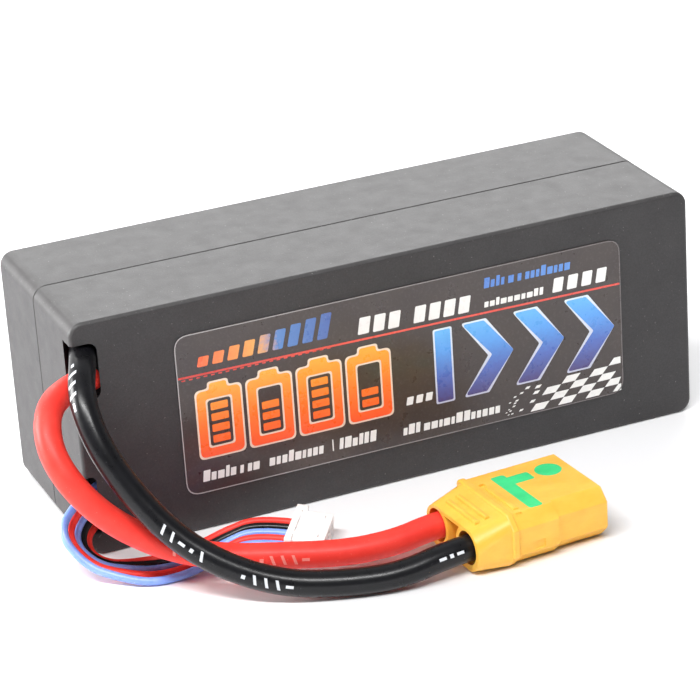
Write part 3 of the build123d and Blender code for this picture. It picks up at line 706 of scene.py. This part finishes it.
def print_cells():
    """Four charged cells in orange with a cream edge, where the large figures of such labels are."""
    edges, fills = [], []
    for left, count in CELL_PLACES:
        edges += [cell_icon(left, FIGURE_EDGE), cell_window(left, -FIGURE_EDGE)]
        fills += [cell_icon(left), cell_window(left)] + cell_levels(left, count)
    print_ink("cell_icons_edge", edges, cream_ink, 1)
    print_ink("cell_icons", fills, orange_ink, 2)


def print_chevrons():
    """A bar and three arrowheads in blue with a pale edge."""
    height = FIGURE_HIGH - FIGURE_LOW
    edges = [block(BAR_LEFT - FIGURE_EDGE, FIGURE_LOW - FIGURE_EDGE, BAR_WIDTH + 2 * FIGURE_EDGE,
                   height + 2 * FIGURE_EDGE, 0.0, 0.5)]
    edges += [chevron(left, FIGURE_EDGE) for left in CHEVRON_LEFTS]
    fills = [block(BAR_LEFT, FIGURE_LOW, BAR_WIDTH, height, 0.0, 0.4)]
    fills += [chevron(left) for left in CHEVRON_LEFTS]
    print_ink("chevrons_edge", edges, pale_ink, 1)
    print_ink("chevrons", fills, blue_ink, 2)


RULE_LOW, RULE_HIGH, RULE_DROP = 34.75, 35.2, 1.1
RULE_INSET = 0.3
TITLE_LOW, TITLE_LEAN = 35.7, 0.18
TITLE_GROUPS = [(0.03, (-8.0, -4.6, -1.2)), (0.02, (4.6, 8.0, 11.4, 14.8))]      # slope, left sides
LOWER_GROUPS = [(-44.3, -31.6), (-29.6, -16.2), (-13.8, -5.2)]


def print_marks():
    """Plain bars where the label's lines of small print are."""
    left, right = label_low[0] / MM + RULE_INSET, label_high[0] / MM - RULE_INSET
    rule = [(left, RULE_LOW), (right, RULE_LOW - RULE_DROP),
            (right, RULE_HIGH - RULE_DROP), (left, RULE_HIGH)]
    print_ink("red_rule", [rule], red_ink)
    gauge = [block(-43.5 + 3.3 * step, 36.6, 2.3, 2.2 + 0.42 * step, 0.25, 0.35) for step in range(9)]
    print_ink("gauge_bars", gauge, gauge_ink)
    print_ink("red_ticks", row_of_bars(-47.0, 21, 1.6, 34.2, 0.8, 0.28), red_ink)
    title = []
    for slope, lefts in TITLE_GROUPS:
        title += [block(place, TITLE_LOW - slope * (place + 8), 2.5, 3.7, TITLE_LEAN, 0.3) for place in lefts]
    print_ink("title_bars", title, white_ink)
    draw = random.Random(4)
    print_ink("small_bars", dashes(draw, 20.9, 34.8, 35.4, 1.7), white_ink)
    print_ink("rating_bars", row_of_bars(36.8, 4, 3.4, 35.2, 2.3, 3.2, TITLE_LEAN, 0.3), white_ink)
    print_ink("blue_bars", dashes(draw, 21.0, 42.6, 39.7, 2.3), small_blue_ink)
    print_ink("unit_bars", row_of_bars(1.9, 3, 2.2, 17.3, 1.5, 1.8, 0.2, 0.2), white_ink)
    print_ink("address_bars", dashes(draw, 0.8, 23.3, 10.6, 2.3), white_ink)
    lower = []
    for start, end in LOWER_GROUPS:
        lower += dashes(draw, start, end, 11.0, 2.5)
    lower.append(block(-15.3, 11.0, 0.25, 2.6))
    print_ink("lower_bars", lower, white_ink)


def dashes(draw, start, end, low, height):
    """A row of short upright bars of uneven width between two places."""
    row = []
    left = start
    while left < end - 0.9:
        width = min(draw.uniform(0.75, 1.5), end - left)
        tall = height * draw.choice((0.72, 0.72, 1.0))
        row.append(block(left, low, width, tall, 0.12, 0.14))
        left += width + draw.choice((0.3, 0.3, 0.35, 0.35, 0.9))
    return row


CHECK_ROWS, CHECK_COLUMNS = 5, 8
CHECK_LEFT, CHECK_LOW = 30.5, 9.0
CHECK_WIDTH, CHECK_HEIGHT, CHECK_LEAN = 3.3, 1.6, 0.9
CHECK_GAP = 0.03
CHECK_RIGHT = 52.4          # where the band is cut off
CHECK_LAST = 54.3           # no check reaches past this before it is cut
FIGURES_END = 46.5          # how far right the lower end of the last arrowhead reaches
DOT_COUNT, DOT_GAP = 46, 0.12


def boxes_meet(first, second):
    """Whether the upright boxes round two flat outlines come closer than the gap between dots."""
    return all(min(point[axis] for point in first) - DOT_GAP < max(point[axis] for point in second)
               and min(point[axis] for point in second) - DOT_GAP < max(point[axis] for point in first)
               for axis in (0, 1))


def check_squares():
    """The leaning squares of the band, cut off at its right."""
    squares = []
    for row in range(CHECK_ROWS):
        low = CHECK_LOW + row * CHECK_HEIGHT
        for column in range(CHECK_COLUMNS):
            left = CHECK_LEFT + column * CHECK_WIDTH + CHECK_LEAN * row * CHECK_HEIGHT
            under_figures = low + CHECK_HEIGHT > FIGURE_LOW - 0.5 and left < FIGURES_END
            if (row + column) % 2 or left + CHECK_WIDTH > CHECK_LAST or under_figures:
                continue
            square = block(left + CHECK_GAP, low + CHECK_GAP, CHECK_WIDTH - 2 * CHECK_GAP,
                           CHECK_HEIGHT - 2 * CHECK_GAP, CHECK_LEAN)
            squares.append([Vector((min(point[0], CHECK_RIGHT), point[1])) for point in square])
    return squares


def print_checks():
    """A leaning chequered band that breaks up into dots on its left."""
    outlines = check_squares()
    draw = random.Random(7)
    for _ in range(DOT_COUNT):
        share = draw.random()
        size = 0.3 + 1.1 * share
        left = 24.6 + 8.6 * share + draw.uniform(-0.6, 0.6)
        low = draw.uniform(9.3, 10.2 + 6.0 * (0.4 + 0.6 * share))       # the cloud of dots widens to the right
        dot = block(left, low, size, size * 0.55, CHECK_LEAN)
        if not any(boxes_meet(dot, other) for other in outlines):
            outlines.append(dot)
    print_ink("check_band", outlines, white_ink)


def print_edge_highlight():
    """A painted highlight on the film's edge: a thin pale line round the label, lighter on the left, where the
    lamps are.
    """
    left, right = label_low[0] / MM, label_high[0] / MM
    low, high = label_low[2] / MM, label_high[2] / MM
    rings = []
    for inset, radius in ((0.02, 3.1), (0.24, 2.9)):
        rings.append(rounded([(left + inset, low + inset), (right - inset, low + inset),
                              (right - inset, high - inset), (left + inset, high - inset)], radius))
    print_ink("film_edge_highlight", rings, edge_highlight_ink)


print_cells()
print_chevrons()
print_marks()
print_checks()
print_edge_highlight()


# ------------------------------------------------------------------ print on the power leads
MARK_RISE = 0.03
MARK_SINK = 0.12
ROW_SIZE, COLUMN_SIZE = 0.35, 0.4       # faces of a mark, round the lead and along it
# How far each mark runs along the lead and round it, and how far it leans.
MARK_SIZES = {"dot": (0.8, 0.8, 0.0), "slash": (0.6, 2.0, 0.7), "dash": (1.5, 0.6, 0.0)}
PRINT_SIDE = Vector((-0.3, -0.85, 0.42)).normalized()


class LeadFrame:
    """Places on the skin of a lead, by distance along it and by angle round it."""

    def __init__(self, points, diameter):
        self.points = points
        self.radius = diameter / 2
        self.along = [0.0]
        for start, end in zip(points, points[1:]):
            self.along.append(self.along[-1] + (end - start).length)

    def skin(self, distance, around, rise):
        """A point; around is in millimetres across the lead from its printed side."""
        distance *= MM
        index = 1
        while index < len(self.along) - 1 and self.along[index] < distance:
            index += 1
        start, end = self.points[index - 1], self.points[index]
        share = (distance - self.along[index - 1]) / (self.along[index] - self.along[index - 1])
        middle = start.lerp(end, share)
        forward = self.direction(index - 1).lerp(self.direction(index), share).normalized()
        out = (PRINT_SIDE - forward * PRINT_SIDE.dot(forward)).normalized()
        side = forward.cross(out)
        angle = around / self.radius
        return middle + (out * math.cos(angle) + side * math.sin(angle)) * (self.radius + rise) * MM

    def direction(self, index):
        """Which way the lead runs at one of its points."""
        before = self.points[max(index - 1, 0)]
        after = self.points[min(index + 1, len(self.points) - 1)]
        return (after - before).normalized()


def wrapped_mark(shape, place, rows, columns):
    """One closed thin patch on a lead: place(u, v, rise) with u and v from 0 to 1."""
    layers = []
    for rise in (MARK_RISE, -MARK_SINK):
        layer = []
        for row in range(rows + 1):
            layer.append([shape.verts.new(place(column / columns, row / rows, rise))
                          for column in range(columns + 1)])
        layers.append(layer)
    top, bottom = layers

    def side(here, there):
        (row, column), (next_row, next_column) = here, there
        shape.faces.new((top[row][column], top[next_row][next_column],
                         bottom[next_row][next_column], bottom[row][column]))

    for row in range(rows):
        for column in range(columns):
            for layer in layers:
                shape.faces.new((layer[row][column], layer[row][column + 1],
                                 layer[row + 1][column + 1], layer[row + 1][column]))
    for column in range(columns):
        for row in (0, rows):
            side((row, column), (row, column + 1))
    for row in range(rows):
        for column in (0, columns):
            side((row, column), (row + 1, column))


def mark_lead(name, lead_frame, marks, paint):
    """Printed dots, slashes and dashes on a lead, from a list of (kind, distance, middle across)."""
    shape = bmesh.new()
    for kind, distance, across in marks:
        long, wide, lean = MARK_SIZES[kind]

        def place(u, v, rise):
            along = distance + (u - 0.5) * long + (v - 0.5) * lean
            return lead_frame.skin(along, across + (v - 0.5) * wide, rise)

        wrapped_mark(shape, place, max(2, round(wide / ROW_SIZE)), max(2, round(long / COLUMN_SIZE)))
    bmesh.ops.recalc_face_normals(shape, faces=shape.faces)
    mesh = bpy.data.meshes.new(name)
    shape.to_mesh(mesh)
    shape.free()
    mesh.materials.append(paint)
    piece = bpy.data.objects.new(name, mesh)
    bpy.context.scene.collection.objects.link(piece)
    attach(piece, "root")
    return piece


def mark_row(start, kinds, across, step):
    """Marks one after another along a lead."""
    return [(kind, start + step * index, across) for index, kind in enumerate(kinds)]


lead_white = ink("lead_white_ink", [(0.0, (0.62, 0.64, 0.68)), (1.0, (0.72, 0.74, 0.78))], "X", (-80, 10))
lead_pink = ink("lead_pink_ink", [(0.0, (0.92, 0.22, 0.19)), (1.0, (0.95, 0.28, 0.24))], "X", (-80, 10))
GROUP_A = ["slash", "slash", "dash", "dot", "slash"]
GROUP_B = ["dot", "slash", "slash", "slash", "dash"]
black_frame = LeadFrame(centreline(black_lead), POWER_DIAMETER)
red_frame = LeadFrame(centreline(red_lead), POWER_DIAMETER)
black_marks = mark_row(11.0, GROUP_B, 2.0, 2.1) + mark_row(48.0, GROUP_A, 0.6, 2.3)
black_marks += mark_row(66.0, GROUP_B, 0.9, 2.3) + mark_row(105.6, ["dash", "dot", "dash"], 0.3, 1.9)
mark_lead("black_lead_print", black_frame, black_marks, lead_white)
red_marks = mark_row(56.0, GROUP_A, 0.5, 2.2) + mark_row(74.0, GROUP_B, 0.9, 2.2)
mark_lead("red_lead_print", red_frame, red_marks, lead_pink)
